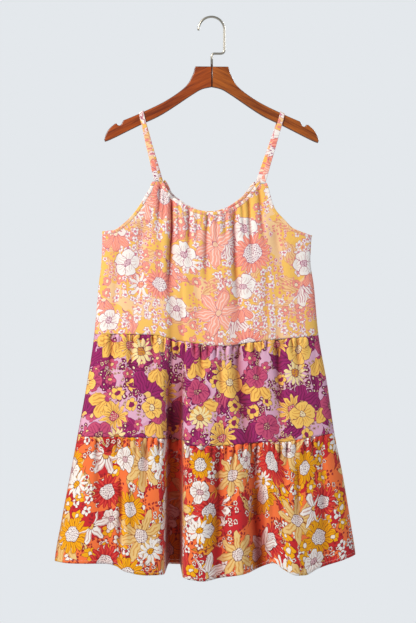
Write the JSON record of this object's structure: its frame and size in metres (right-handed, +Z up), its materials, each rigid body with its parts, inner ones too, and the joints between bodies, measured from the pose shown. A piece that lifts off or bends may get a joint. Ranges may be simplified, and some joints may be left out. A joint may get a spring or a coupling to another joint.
{
  "type": "sundress on clothes hanger",
  "caption": "Tiered sundress with thin straps and floral prints, hanging on a wooden clothes hanger with a bent wire hook.",
  "frame": {"origin": "inner top of the hook, where the rod carries the hanger", "axes": "+Z up along the hook's shank, +X to the viewer's right along the hanger, the dress's front faces -Y"},
  "size_m": [0.56, 0.1025, 1.0471],
  "materials": {
    "wood": "varnished, red-brown",
    "hook_metal": "satin nickel plated wire",
    "top_print": "woven viscose, yellow and coral floral print",
    "middle_print": "woven viscose, plum, lilac and gold floral print",
    "bottom_print": "woven viscose, orange, red and white floral print"
  },
  "bodies": {
    "root": {"hanger_left": "wood", "hanger_right": "wood", "hanger_hook": "hook_metal", "hanger_shank": "hook_metal", "bodice_front": "top_print", "bodice_back": "top_print", "neck_binding_front": "top_print", "neck_binding_back": "top_print", "armhole_binding_left": "top_print", "armhole_binding_right": "top_print", "strap_left": "top_print", "strap_right": "top_print", "middle_tier_front": "middle_print", "middle_tier_back": "middle_print", "bottom_tier_front": "bottom_print", "bottom_tier_back": "bottom_print"}
  },
  "joints": []
}
